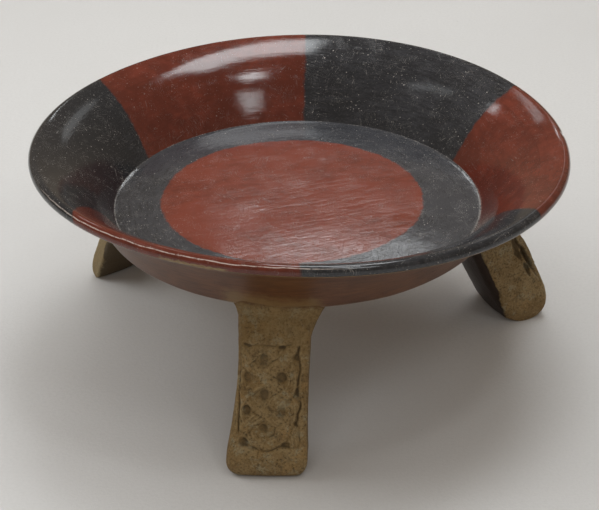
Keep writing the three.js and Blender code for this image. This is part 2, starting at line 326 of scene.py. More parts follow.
class Bowl:
    """Outline and warp of the bowl, in millimetres."""

    WALL_STEPS = 49
    # Slope of the wall at its foot and at the lip, and how far each draws the curve with it
    FOOT_SLOPE, FOOT_PULL = 58 * DEGREE, 18
    LIP_SLOPE, LIP_PULL = 22 * DEGREE, 16
    # The warp starts this far outside the ridge and is whole at the rim
    WARP_START, RIM_RADIUS = 7.7, 120.0
    # A nick in the rim: bearing, radius at which it starts, width and depth
    NICK_BEARING, NICK_RADIUS, NICK_WIDTH, NICK_DEPTH = 5.8 * DEGREE, 117, 1.5, 0.9

    def __init__(self):
        size = sizes(bpy.context.scene.bowl_shape)
        self.size = size
        self.lip = np.array([size.lip_reach, size.lip_level])
        lip_run = np.array([math.cos(self.LIP_SLOPE), math.sin(self.LIP_SLOPE)])
        foot_run = np.array([math.cos(self.FOOT_SLOPE), math.sin(self.FOOT_SLOPE)])
        foot = np.array([size.floor_radius, size.floor_level + size.ridge_height])
        top = self.lip + size.lip_radius * np.array([-lip_run[1], lip_run[0]])
        pulls = [foot + self.FOOT_PULL * foot_run, top - self.LIP_PULL * lip_run]
        inside = bezier([foot, *pulls, top], self.WALL_STEPS)
        along = np.gradient(inside, axis=0)
        along /= np.linalg.norm(along, axis=1)[:, None]
        through = np.stack([along[:, 1], -along[:, 0]], 1)
        far = np.linspace(0, 1, self.WALL_STEPS)[:, None] ** 6
        outside = inside + through * (size.wall_thickness * (1 - far) + 2 * size.lip_radius * far)
        run = np.concatenate([[0], np.cumsum(np.linalg.norm(np.diff(inside, axis=0), axis=1))])
        self.seam = int(np.searchsorted(run, run[-1] - size.coil_width))
        self.inside, self.outside = inside, outside
        corner = outside[0] + (size.base_level - outside[0][1]) / along[0][1] * along[0]
        self.turn_in = bezier([outside[0], corner, (size.base_radius, size.base_level)], 13)
        under = np.concatenate([[(0, size.base_level)], self.turn_in[::-1], outside[1:]])
        order = np.argsort(under[:, 0])
        self.under = under[order]

    def rise(self, x, y):
        """How far the uneven rim lifts the wall there."""
        size = self.size
        turn = np.arctan2(y, x)
        lean = size.rim_lean * np.cos(turn - size.rim_lean_bearing)
        bend = size.rim_bend * np.cos(2 * (turn - size.rim_bend_bearing))
        return ease(np.hypot(x, y), size.floor_radius + self.WARP_START, self.RIM_RADIUS) * (lean + bend)

    def underside(self, x, y):
        """Height of the underside there."""
        return np.interp(np.hypot(x, y), self.under[:, 0], self.under[:, 1]) + self.rise(x, y)

    def settle(self, places):
        """The true round bowl as the hand left it."""
        size = self.size
        x, y, z = places.T
        radius = np.hypot(x, y)
        turn = np.arctan2(y, x)
        out = np.stack([np.cos(turn), np.sin(turn)])
        wander = size.unevenness * (0.75 * lumps(places, 34, 3) + 0.25 * lumps(places, 13, 4))
        up_wander = size.unevenness * (0.75 * lumps(places, 38, 5) + 0.25 * lumps(places, 12, 6))
        rim = ease(radius, 100, 116)
        shift = -RIDGE_SHIFT * bell(radius - size.floor_radius, 13)
        nick = self.NICK_DEPTH * bell((turn - self.NICK_BEARING) * self.NICK_RADIUS, self.NICK_WIDTH)
        nick = nick * ease(radius, self.NICK_RADIUS, 119.4)
        # The lip is drawn in a little so that its waves stay inside the true bowl
        push = wander * ease(radius, 5, 40) * (1 - 0.45 * rim) - 0.2 * rim - nick
        lift = self.rise(x, y) + up_wander * (1 - 0.6 * rim) - 0.2 * rim
        return np.stack([x + out[0] * push + shift, y + out[1] * push, z + lift], 1)


HEAD_HALF_WIDTH = 15.4
FAR_AWAY = 99.0


def head_distance(x, y):
    """Millimetres from the head of the nearest support, seen from above."""
    scene = bpy.context.scene
    nearest = np.full_like(x, FAR_AWAY)
    for group in (scene.front_support, scene.right_support, scene.left_support):
        head = (scene.bowl_shape.floor_radius + group.head_reach) / MM
        dx, dy = x - head * math.cos(group.bearing), y - head * math.sin(group.bearing)
        along = dx * math.cos(group.face_bearing) + dy * math.sin(group.face_bearing)
        across = dy * math.cos(group.face_bearing) - dx * math.sin(group.face_bearing)
        past_face = np.maximum(np.abs(along) - group.thickness / MM / 2, 0)
        past_edge = np.maximum(np.abs(across) - HEAD_HALF_WIDTH, 0)
        nearest = np.minimum(nearest, np.hypot(past_face, past_edge))
    return nearest


# The paint ends on the outside of the lip, this far below its widest place
PAINT_END = 34 * DEGREE


def bowl_piece(name, zone, outline, bowl, slot, node):
    """One piece of the bowl. It notes how far inside the paint's edge each place lies, and how far
    from a support's head."""
    mesh = spun(name, outline, bowl.size.turn_steps, ring=zone != "floor")
    true = places_of(mesh)
    radius = np.hypot(true[:, 0], true[:, 1])
    roll = np.arctan2(true[:, 2] - bowl.lip[1], radius - bowl.lip[0])
    inner = np.interp(radius, bowl.inside[:, 0], bowl.inside[:, 1], left=bowl.size.floor_level)
    mid = inner - 0.5 * bowl.size.wall_thickness
    on_lip = ease(radius, bowl.lip[0] - 2.5, bowl.lip[0] - 0.5)
    side = np.where(true[:, 2] > mid, 6.0, -6.0)
    edge = (roll + PAINT_END) * bowl.size.lip_radius
    note(mesh, "paint", side * (1 - on_lip) + edge * on_lip)
    note(mesh, "head", head_distance(true[:, 0], true[:, 1]))
    move_to(mesh, bowl.settle(true))
    smooth_shaded(mesh, 42 * DEGREE)
    finished(mesh, slip_finish(slot, zone), [node])


def pits(u, z, centres, radius, depth, seed):
    """Depth of worn round hollows at u across and z up."""
    chance = np.random.default_rng(seed)
    total = np.zeros_like(u)
    for across, up, share in centres:
        wide, tall = radius * chance.uniform(0.85, 1.2, 2)
        turn = chance.uniform(-0.6, 0.6)
        a = (u - across) * math.cos(turn) + (z - up) * math.sin(turn)
        b = (z - up) * math.cos(turn) - (u - across) * math.sin(turn)
        far = np.sqrt((a / wide) ** 2 + (b / tall) ** 2)
        total = np.maximum(total, share * depth * (1 - ease(far, 0.45, 1.25)))
    return total


def plait(stamp, shape, u, z):
    """Height of the stamped plait at u across and z up from the support's middle, and its hollows."""
    base = shape.stamp_base
    row = (z - base) / stamp.row_height
    # The stamp was put on a little crooked, and hands and wear have moved its edges
    u = u - shape.stamp_middle - 1.4 * (1 - ease(row, -0.5, 2.0)) + 0.9 * ease(row, 2.0, 5.5)
    half = stamp.strand_width / 2
    flat = np.stack([u, z, np.zeros_like(u)], -1).reshape(-1, 3)
    u = u + (0.45 * lumps(flat, 4.5, 26) + 0.22 * lumps(flat, 1.8, 27)).reshape(u.shape)
    z = z + (0.45 * lumps(flat, 4.5, 28) + 0.22 * lumps(flat, 1.8, 29)).reshape(u.shape)
    worn = 0.5 + 0.5 * lumps(flat, 9, 21).reshape(u.shape)
    crisp = (1 - 0.75 * ease(row, 3.6, 5.2)) * (0.35 + 0.65 * worn)
    knots = np.arange(9)
    over_knots = np.array([-1, 1, 0, -1, 1, -1, 0, 1, -1])
    relief = np.full_like(u, -stamp.ground_depth)
    cut = np.zeros_like(u)
    for strand in range(4):
        phase = row + 2 * strand
        centre = stamp.swing * np.sin(phase * math.pi / 4)
        slope = stamp.swing * math.pi / 4 * np.cos(phase * math.pi / 4) / stamp.row_height
        off = (u - centre) / np.sqrt(1 + slope ** 2)
        over = np.interp(phase % 8, knots, over_knots)
        if strand in (0, 2):
            # The two inner strands meet in a loop round the lowest gap
            side = 1 if strand == 0 else -1
            below = np.minimum(z - (base + stamp.row_height), 0)
            loop = (np.sqrt((u / 7.4) ** 2 + (below / 6.0) ** 2) - 1) * 6.7
            share = ease(row, 0.65, 1.35)
            off = np.where(side * u >= 0, loop, 30.0) * (1 - share) + off * share
            over = side * ease(row, 0.2, 1.0) * (1 - share) + over * share
        far = np.abs(off)
        inside = 1 - ease(far, half - 0.35, half + 0.35)
        lines = (np.cos(off * math.tau / stamp.line_spacing) - 0.3) * 0.30 * crisp
        top = 0.24 * over - 0.16 * (far / half) ** 2 + lines
        relief = np.maximum(relief, top * inside - stamp.ground_depth * (1 - inside))
        cut = np.maximum(cut, bell(far - half, 0.6) * ease(over, -0.35, 0.6))
    relief = relief - 0.42 * cut * (0.45 + 0.55 * worn)

    side_gap, border_gap, rows = 7.35, stamp.border_reach - 0.6, stamp.row_height
    middle_gaps = [(0, base + rows * n, 1.0) for n in (1, 3, 5)]
    side_gaps = [(side * side_gap, base + rows * n, 0.9) for n in (2, 4, 6) for side in (-1, 1)]
    corner_gaps = [(-8.9, base + 0.6, 0.8), (8.4, base - 0.3, 0.9)]
    border_gaps = [
        (side * border_gap, base + rows * n + 1.2, 0.95) for n in (1, 3, 5) for side in (-1, 1)
    ]
    gap = pits(u, z, middle_gaps + side_gaps + corner_gaps, 2.45, stamp.gap_depth, 22)
    gap = np.maximum(gap, pits(u, z, border_gaps, 2.0, stamp.gap_depth, 25))
    relief = np.minimum(relief, relief * 0.3 - gap * (0.75 + 0.35 * worn))

    # The frame: a wavy groove at the sides, a shallow one on top, and an arc below
    wave = 0.35 * np.sin(row * math.pi) + 0.25 * lumps(flat, 5, 23).reshape(u.shape)
    right = stamp.border_reach + wave
    left = -shape.stamp_left + 0.25 * wave
    top_end = base + 5.95 * rows
    low_end = base - 0.9 - 1.4 * (1 - np.minimum(np.abs(u) / 7, 1) ** 2) - 0.4 * ease(u, 6, 12)
    within = (
        ease(right - u, -0.3, 0.3) * ease(u - left, -0.3, 0.3)
        * ease(z, low_end - 0.3, low_end + 0.3) * ease(top_end - z, -0.6, 0.6)
    )
    relief = relief * within
    upright = ease(z, low_end + 3.5, low_end + 6.5) * ease(top_end + 0.5 - z, 0, 2)
    depth = stamp.border_depth * (0.55 + 0.45 * worn)
    patchy = 0.35 + 0.65 * ease(worn, 0.35, 0.7)
    across = ease(right - 2 - u, 0, 2) * ease(u - left - 2, 0, 2)
    ledge = base - 5.4 + 0.3 * lumps(flat, 8, 24).reshape(u.shape)
    grooves = (
        bell(u - right, 0.6) * upright * depth * (0.3 + 0.7 * patchy),
        bell(u - left, 0.7) * upright * depth,
        bell(z - top_end, 0.6) * across * depth * (0.4 + 0.6 * patchy),
        bell(z - low_end, 0.5) * across * depth * 0.6 * patchy,
        bell(z - ledge, 0.45) * across * 0.3 * patchy,
    )
    relief = np.minimum(relief, -np.maximum.reduce(grooves))
    return relief, np.clip(-relief - 0.1, 0, 2)


# Chips along the right support's near corner: distance round its face, height, share of the depth
WORN_CORNER = [
    (-20.6, 27, 1.0), (-21.2, 36, 0.8), (-20.8, 40.5, 0.8), (-18.3, 35, 1.0), (-17.8, 30.5, 0.9)
]


class Support:
    """A slab support as a grid: rows go up it and columns go round it. near says which of its sides
    is towards the camera, and that side gets finer columns."""

    PITCH = 0.36
    FACE_WIDTH = 30
    # How far the middle of the inner and of the outer face stands proud of its edges
    INNER_CROWN, OUTER_CROWN = 1.8, 0.8
    # Distance round the faces noted where the stamp doesn't reach
    OFF_STAMP = 40
    # Rows above this level are spread until the top is this far inside the clay of the bowl
    HEAD_LEVEL, HEAD_SET_IN = 52, 2.5
    # The luting follows the slab's outline at this level, and is smeared this far out and down
    LUTING_LEVEL, LUTING_SPREAD, LUTING_DROP = 64.0, 4.6, 13.0
    # Slab and luting are spun as a round post of this radius, and their places are then set
    POST_RADIUS = 10

    def __init__(self, group, left_edge, right_edge, near, bowl, seed):
        self.shape = shape = sizes(group)
        self.bowl, self.near, self.seed = bowl, near, seed
        self.left_edge, self.right_edge = left_edge, right_edge
        toe_steps = int(1.2 * math.hypot(shape.toe_run, shape.toe_rise) / self.PITCH)
        toe_levels = shape.toe_rise * (1 - np.cos(np.linspace(0, math.pi / 2, toe_steps)))
        body_levels = np.arange(shape.toe_rise + self.PITCH, 60, self.PITCH)
        self.levels = np.concatenate([toe_levels, body_levels, np.linspace(60.4, 69, 8)])

    def edges(self, z):
        """Left and right edge, outer and inner face at each height, before any corner is rounded."""
        shape = self.shape

        def eased(table):
            heights, values = zip(*table)
            return sum(np.interp(z + step, heights, values) for step in (-1.5, -0.5, 0.5, 1.5)) / 4

        toe = np.sqrt(1 - np.clip(1 - z / shape.toe_rise, 0, 1) ** 2)
        heel = np.sqrt(1 - np.clip(1 - z / shape.heel_round, 0, 1) ** 2)
        outer = shape.thickness / 2 - shape.toe_run * (1 - toe)
        swell = shape.inner_bulge * np.sin(np.clip(z / 66, 0, 1) * math.pi) ** 0.7
        inner = -shape.thickness / 2 + shape.heel_round * (1 - heel) - swell
        return eased(self.left_edge), eased(self.right_edge), outer, inner

    def columns(self):
        """Segment number and share along it for each column."""
        shape = self.shape
        fine, side = self.PITCH * 0.85, self.PITCH * 2.2
        left_side = fine * 1.4 if self.near == "left" else side
        right_side = fine * 1.4 if self.near == "right" else side
        depth = shape.thickness - shape.back_round
        spans = [
            (self.FACE_WIDTH - shape.left_round - shape.right_round, fine),
            (1.57 * shape.right_round, fine),
            (max(depth - shape.right_round, 2), right_side),
            (1.57 * shape.back_round, side * 0.6),
            (self.FACE_WIDTH - 2 * shape.back_round, side),
            (1.57 * shape.back_round, side * 0.6),
            (max(depth - shape.left_round, 2), left_side),
            (1.57 * shape.left_round, fine),
        ]
        found = []
        for number, (span, pitch) in enumerate(spans):
            count = max(4, int(span / pitch))
            found += [(number, step / count) for step in range(count)]
        return np.array(found)

    def grid(self, levels):
        """Local places, outward directions, and distance round the outer face from its middle."""
        z = levels[:, None]
        left, right, outer, inner = self.edges(z)
        shape = self.shape
        largest = shape.back_round + max(shape.left_round, shape.right_round)
        room = np.clip((outer - inner) / largest * 0.95, 0, 1)
        rl, rr, rb = (r * room for r in (shape.left_round, shape.right_round, shape.back_round))
        segment, share = self.columns().T
        x = np.zeros((len(z), len(segment)))
        y, nx, ny, around = (np.zeros_like(x) for _ in range(4))

        def fill(number, px, py, dx, dy, distance):
            pick = segment == number
            for target, value in ((x, px), (y, py), (nx, dx), (ny, dy), (around, distance)):
                target[:, pick] = value

        def straight(number):
            return share[segment == number][None, :]

        def corner(number):
            t = straight(number) * math.pi / 2
            return t, np.cos(t), np.sin(t)

        face = left + rl + straight(0) * (right - rr - left - rl)
        fill(0, outer, face, 1, 0, face)
        t, cos, sin = corner(1)
        fill(1, outer - rr + rr * cos, right - rr + rr * sin, cos, sin, right - rr + rr * t)
        s, side = straight(2), outer - rr - inner - rb
        fill(2, outer - rr - s * side, right, 0, 1, right - rr + rr * math.pi / 2 + s * side)
        far = right + self.OFF_STAMP
        t, cos, sin = corner(3)
        fill(3, inner + rb - rb * sin, right - rb + rb * cos, -sin, cos, far)
        fill(4, inner, right - rb - straight(4) * (right - left - 2 * rb), -1, 0, far)
        t, cos, sin = corner(5)
        fill(5, inner + rb - rb * cos, left + rb - rb * sin, -cos, -sin, far)
        s, side = straight(6), outer - rl - inner - rb
        fill(6, inner + rb + s * side, left, 0, -1, left + rl - rl * math.pi / 2 - (1 - s) * side)
        t, cos, sin = corner(7)
        near_left = left + rl - rl * (math.pi / 2 - t)
        fill(7, outer - rl + rl * sin, left + rl - rl * cos, sin, -cos, near_left)

        across = (2 * y - right - left) / (right - left)
        depth = np.clip((2 * x - outer - inner) / (outer - inner), -1, 1)
        crown = np.clip(-depth, 0, 1) * self.INNER_CROWN - np.clip(depth, 0, 1) * self.OUTER_CROWN
        x += across ** 2 * crown
        return x, y, np.broadcast_to(z, x.shape), nx, ny, around

    def stand(self, x, y, z):
        """Leans the support, turns its face and stands it in its place."""
        shape = self.shape
        slope, twist = math.tan(shape.lean), shape.bearing - shape.face_bearing
        foot = self.bowl.size.floor_radius + shape.head_reach + self.bowl.size.base_level * slope
        x = x - z * slope * math.cos(twist)
        y = y - z * slope * math.sin(twist)
        turn = shape.face_bearing
        return (
            x * math.cos(turn) - y * math.sin(turn) + foot * math.cos(shape.bearing),
            x * math.sin(turn) + y * math.cos(turn) + foot * math.sin(shape.bearing),
            z,
        )

    def seat(self, x, y, below):
        """Height at which a column's surface is that far below the underside of the bowl."""
        z = np.full_like(x, self.bowl.size.base_level)
        for _ in range(6):
            wx, wy, _z = self.stand(x, y, z)
            z = self.bowl.underside(wx, wy) - below
        return z

    def build(self, name, material, node):
        """The slab with its stamp, its top set into the clay of the bowl."""
        stamp = sizes(bpy.context.scene.stamp_shape)
        x, y, z, nx, ny, around = self.grid(self.levels)
        rows, cols = x.shape
        relief, hollow = plait(stamp, self.shape, around, z)
        blurred = relief
        for axis in (0, 1):
            blurred = sum(np.roll(blurred, step, axis) for step in (-3, -2, -1, 0, 1, 2, 3)) / 7
        if self.near == "left":
            # Chips are long and ragged
            flat = np.stack([x, y, z], -1).reshape(-1, 3)
            ragged = around + (1.1 * lumps(flat, 3.5, 62) + 0.5 * lumps(flat, 1.5, 63)).reshape(x.shape)
            chips = [(across * 1.5, up * 0.55, share) for across, up, share in WORN_CORNER]
            worn = pits(ragged * 1.5, z * 0.55, chips, 1.9, 1.7, 61)
            relief, hollow = relief - worn, np.maximum(hollow, worn * 0.6)
        local = np.stack([x, y, z], -1).reshape(-1, 3)
        hand = 0.28 * lumps(local, 11, self.seed) + 0.10 * lumps(local, 4.2, self.seed + 1)
        grain = 0.05 * lumps(local, 1.3, self.seed + 2)
        push = relief + (hand + grain).reshape(x.shape) * ease(z, 0.2, 3)
        x, y = x + nx * push, y + ny * push
        top, head = self.seat(x[-1], y[-1], -self.HEAD_SET_IN), self.HEAD_LEVEL
        z = np.where(z > head, head + (z - head) / (z[-1] - head) * (top - head), z)

        cap, post = 6, self.POST_RADIUS
        outline = [(post * n / cap, 0) for n in range(cap)]
        outline += [(post, row) for row in range(rows)]
        outline += [(post * (1 - n / cap), rows - 1) for n in range(1, cap + 1)]
        mesh = spun(name, outline, cols)
        mark = places_of(mesh)
        reach = np.hypot(mark[:, 0], mark[:, 1]) / post
        col = np.round(np.arctan2(mark[:, 1], mark[:, 0]) / math.tau * cols).astype(int) % cols
        row = np.clip(np.round(mark[:, 2]).astype(int), 0, rows - 1)
        grid = np.stack([x, y, z], -1)
        centre = grid.mean(axis=1)
        local = centre[row] + (grid[row, col] - centre[row]) * reach[:, None]
        note(mesh, "hollow", hollow[row, col] * (reach > 0.99))
        note(mesh, "line", (blurred - relief)[row, col] * (reach > 0.99))
        note(mesh, "inner", self.inner_face(local))
        note(mesh, "cover", np.full(len(local), self.shape.slip_share))
        move_to(mesh, np.stack(self.stand(*local.T), -1))
        smooth_shaded(mesh, 75 * DEGREE)
        finished(mesh, material, [node])

    def inner_face(self, local):
        """Millimetres inside the edge of the dark slip on the inner face."""
        x, _y, z = local.T
        return self.shape.slip_reach * (1 - 0.5 * ease(z, 22, 10)) - self.shape.thickness / 2 - x

    def luting(self, name, material, node):
        """Clay smeared round the head: a fillet from the support's faces to the underside."""
        x, y, _z, nx, ny, _a = (values[0] for values in self.grid(np.array([self.LUTING_LEVEL])))
        step = max(1, len(x) // 220)
        x, y, nx, ny = x[::step], y[::step], nx[::step], ny[::step]
        cols = len(x)
        around = np.stack([x, y, np.zeros(cols)], -1)
        # The front one was smeared much further up and out at its right
        more = np.clip(ny, 0, 1) ** 1.5 * (self.near == "front")
        wide = self.LUTING_SPREAD * (1 + 0.28 * lumps(around, 13, self.seed + 5) + 1.1 * more)
        deep = self.LUTING_DROP * (1 + 0.22 * lumps(around, 11, self.seed + 6) + 1.3 * more)
        # The fillet's outline, as shares of how far it spreads out and drops
        foot, tip, heel = (-0.2, 1.0), (1.0, -0.14), (-0.2, -0.14)
        curve = bezier([foot, (0.0, 0.02), tip], 15)
        outline = np.concatenate([curve, line(tip, heel, 4)[1:], line(heel, foot, 6)[1:-1]])
        count = len(outline)
        ring = arc((self.POST_RADIUS, 0), 3, 0, math.tau, count + 1)[:-1]
        mesh = spun(name, ring, cols, ring=True)
        mark = places_of(mesh)
        col = np.round(np.arctan2(mark[:, 1], mark[:, 0]) / math.tau * cols).astype(int) % cols
        turn = np.arctan2(mark[:, 2], np.hypot(mark[:, 0], mark[:, 1]) - self.POST_RADIUS)
        item = np.round(turn / math.tau * count).astype(int) % count
        out, below = outline[item].T
        reach = out * wide[col]
        below = below * deep[col]
        lx, ly = x[col] + nx[col] * reach, y[col] + ny[col] * reach
        z = self.seat(lx, ly, below)
        local = np.stack([lx, ly, z], -1)
        rough = 0.2 * lumps(local, 6, self.seed + 7) + 0.08 * lumps(local, 2.4, self.seed + 8)
        smear = (out > 0.0) & (item < len(curve))
        lx, ly = lx + nx[col] * rough * smear, ly + ny[col] * rough * smear
        note(mesh, "inner", self.inner_face(local) + 1.5)
        note(mesh, "cover", np.full(len(local), self.shape.slip_share))
        note(mesh, "below", below)
        move_to(mesh, np.stack(self.stand(lx, ly, z), -1))
        smooth_shaded(mesh, 60 * DEGREE)
        finished(mesh, material, [node])


# Finishes

class Value:
    """A number that varies over a surface. Arithmetic on it adds Math nodes."""

    def __init__(self, finish, socket):
        self.finish, self.socket = finish, socket

    def _with(self, operation, *inputs):
        return self.finish.math(operation, *inputs)

    def __add__(self, other):
        return self._with("ADD", self, other)

    def __sub__(self, other):
        return self._with("SUBTRACT", self, other)

    def __rsub__(self, other):
        return self._with("SUBTRACT", other, self)

    def __mul__(self, other):
        return self._with("MULTIPLY", self, other)

    def __truediv__(self, other):
        return self._with("DIVIDE", self, other)

    __radd__ = __add__
    __rmul__ = __mul__

    def size(self):
        return self._with("ABSOLUTE", self)

    def most(self, other):
        return self._with("MAXIMUM", self, other)

    def least(self, other):
        return self._with("MINIMUM", self, other)

    def ease(self, low, high):
        """0 at low and 1 at high, smooth between; low may be the larger."""
        if low > high:
            return 1 - self.ease(high, low)
        return self.finish.value(
            "ShaderNodeMapRange",
            {"interpolation_type": "SMOOTHSTEP"},
            {"Value": self, "From Min": low, "From Max": high},
        )


class Finish:
    """A material in the making."""

    def __init__(self, name):
        self.material = bpy.data.materials.new(name)
        self.material.use_nodes = True
        self.tree = self.material.node_tree
        self.tree.nodes.clear()
        self.surface = self.node("ShaderNodeBsdfPrincipled")
        self.node("ShaderNodeOutputMaterial", {}, {"Surface": self.surface.outputs["BSDF"]})

    def node(self, kind, settings=None, values=None):
        made = self.tree.nodes.new(kind)
        for key, setting in (settings or {}).items():
            setattr(made, key, setting)
        for key, value in (values or {}).items():
            self.feed(made.inputs[key], value)
        return made

    def feed(self, socket, value):
        if isinstance(value, Value):
            value = value.socket
        if isinstance(value, bpy.types.NodeSocket):
            self.tree.links.new(value, socket)
        elif hasattr(value, "__len__") and socket.type == "RGBA":
            socket.default_value = (*value[:3], 1.0)
        else:
            socket.default_value = value

    def value(self, kind, settings=None, values=None, output=0):
        return Value(self, self.node(kind, settings, values).outputs[output])

    def math(self, operation, *inputs):
        return self.value("ShaderNodeMath", {"operation": operation}, dict(enumerate(inputs)))

    def vector(self, operation, *inputs):
        made = self.node("ShaderNodeVectorMath", {"operation": operation}, dict(enumerate(inputs)))
        return made.outputs[0]

    def scaled(self, vector, factor):
        values = {0: vector, "Scale": factor}
        return self.node("ShaderNodeVectorMath", {"operation": "SCALE"}, values).outputs[0]

    def join(self, x, y, z):
        return self.node("ShaderNodeCombineXYZ", {}, {"X": x, "Y": y, "Z": z}).outputs[0]

    def parts(self, vector):
        made = self.node("ShaderNodeSeparateXYZ", {}, {0: vector})
        return [Value(self, out) for out in made.outputs]

    def place(self):
        """Place on the part in millimetres."""
        return self.scaled(self.node("ShaderNodeTexCoord").outputs["Object"], 1000.0)

    def noted(self, name):
        return self.value("ShaderNodeAttribute", {"attribute_name": name}, output="Fac")

    def turned(self, vector, turn, stretch):
        """The vector turned about the upright axis and then stretched."""
        spun = self.node(
            "ShaderNodeVectorRotate", {"rotation_type": "Z_AXIS"}, {"Vector": vector, "Angle": turn}
        ).outputs[0]
        return self.vector("MULTIPLY", spun, stretch)

    def noise(self, vector, size, detail=2.0, roughness=0.5, distortion=0.0):
        """Cloudy pattern from 0 to 1, its clouds about size millimetres across."""
        return self.value(
            "ShaderNodeTexNoise",
            {"noise_dimensions": "3D"},
            {
                "Vector": vector, "Scale": 1.0 / size, "Detail": detail,
                "Roughness": roughness, "Distortion": distortion,
            },
        )

    def strokes(self, vector, turn, long, wide, detail, distortion):
        """Cloudy pattern drawn out into strokes. turn is in degrees and the sizes in millimetres."""
        lined = self.turned(vector, turn * DEGREE, (1 / long, 1 / wide, 1))
        return self.noise(lined, 1.0, detail, 0.6, distortion)

    def spots(self, vector, size):
        """Distance to the middle of the nearest spot, in cells, and a random number for each spot."""
        made = self.node(
            "ShaderNodeTexVoronoi",
            {"feature": "F1"},
            {"Vector": vector, "Scale": 1.0 / size, "Randomness": 1.0},
        )
        colour = self.node("ShaderNodeSeparateColor", {}, {0: made.outputs["Color"]})
        return Value(self, made.outputs["Distance"]), Value(self, colour.outputs[0])

    def mix(self, low, high, share):
        """Colour that goes from low to high as share goes from 0 to 1."""
        made = self.node("ShaderNodeMix", {"data_type": "RGBA"}, {0: share, 6: low, 7: high})
        return made.outputs[2]

    def bump(self, height, distance, strength=1.0):
        values = {"Height": height, "Distance": distance * MM, "Strength": strength}
        return self.node("ShaderNodeBump", {}, values).outputs[0]

    def done(self, colour, roughness, normal, specular=0.5):
        self.feed(self.surface.inputs["Base Color"], colour)
        self.feed(self.surface.inputs["Roughness"], roughness)
        self.feed(self.surface.inputs["Normal"], normal)
        self.feed(self.surface.inputs["Specular IOR Level"], specular)
        return self.material


def scratches(finish, place, turns, long, wide, amount):
    """Thin rubbed lines in several directions."""
    found = None
    for number, turn in enumerate(turns):
        lined = finish.turned(place, turn * DEGREE, (1 / long, 1 / wide, 1 / long))
        drift = finish.noise(finish.vector("ADD", lined, (7.3 * number, 3.1, 11.0)), 1.0, 1.0)
        elsewhere = finish.vector("ADD", place, (40.0 * number, 9.0, 0.0))
        where = finish.noise(elsewhere, 9.0, 1.0).ease(0.5, 0.66)
        thin = (drift - 0.5).size().ease(amount, amount * 0.3) * where
        found = thin if found is None else found.most(thin)
    return found


def specks(finish, place, size, share, where):
    """Small rubbed spots: share is how many of the cells hold one."""
    far, pick = finish.spots(place, size)
    small = 0.1 + pick * 0.16 / max(share, 0.01)
    return (far / small).ease(1.0, 0.55) * pick.ease(share, share - 0.02) * where


def painted_field(finish, x, y, radius, wobble, middle, low, high):
    """How far a place lies inside a black field, in millimetres. low and high give each edge's bearing
    at a radius of 100 and how it changes with each millimetre."""
    across = y * math.cos(middle * DEGREE) - x * math.sin(middle * DEGREE)
    along = x * math.cos(middle * DEGREE) + y * math.sin(middle * DEGREE)
    turn = finish.math("ARCTAN2", across, along) * (1 / DEGREE)
    from_low = turn - ((radius - 100) * low[1] + (low[0] - middle))
    to_high = ((radius - 100) * high[1] + (high[0] - middle)) - turn
    return from_low.least(to_high) * radius * DEGREE + wobble


# For each zone of the bowl: ranges over which the red goes from dark to bright and the black from dense
# to thin, height of the burnishing strokes, shares of the finest strokes and grain in it, and roughness
ZONES = {
    # The floor's black turns pale sooner: besides thin slip, this is painted sheen on the black ring
    "floor": ((0.45, 1.05), (0.32, 0.80), 0.34, (0.14, 0.02), 0.045),
    "wall": ((0.75, 1.40), (0.58, 1.05), 0.28, (0.35, 0.05), 0.05),
    "lip": ((0.65, 1.30), (0.58, 1.05), 0.13, (0.35, 0.05), 0.035),
}
# Black fields of the wall: bearing of the middle, then each edge as painted_field takes it
BLACK_FIELDS = (
    (178, (145.9, -0.13), (207.5, 0.57)),
    (58, (29.2, 0.05), (88.3, 0.0)),
    (-60, (-90.0, 0.0), (-30.4, -0.13)),
)
# The red disc on the floor, and the rubbed ring on the ridge round it
DISC_X, DISC_Y, DISC_RADIUS = -3.4, 2.8, 59.0
RING_RADIUS = 82.1
# Bearing of the patch of bare clay on the outside of the lip, in degrees
PATCH_BEARING = 249.0
# The painted highlight line along the crest of the lip lies this far inside the paint's edge
CREST_HIGHLIGHT_LINE = 3.65


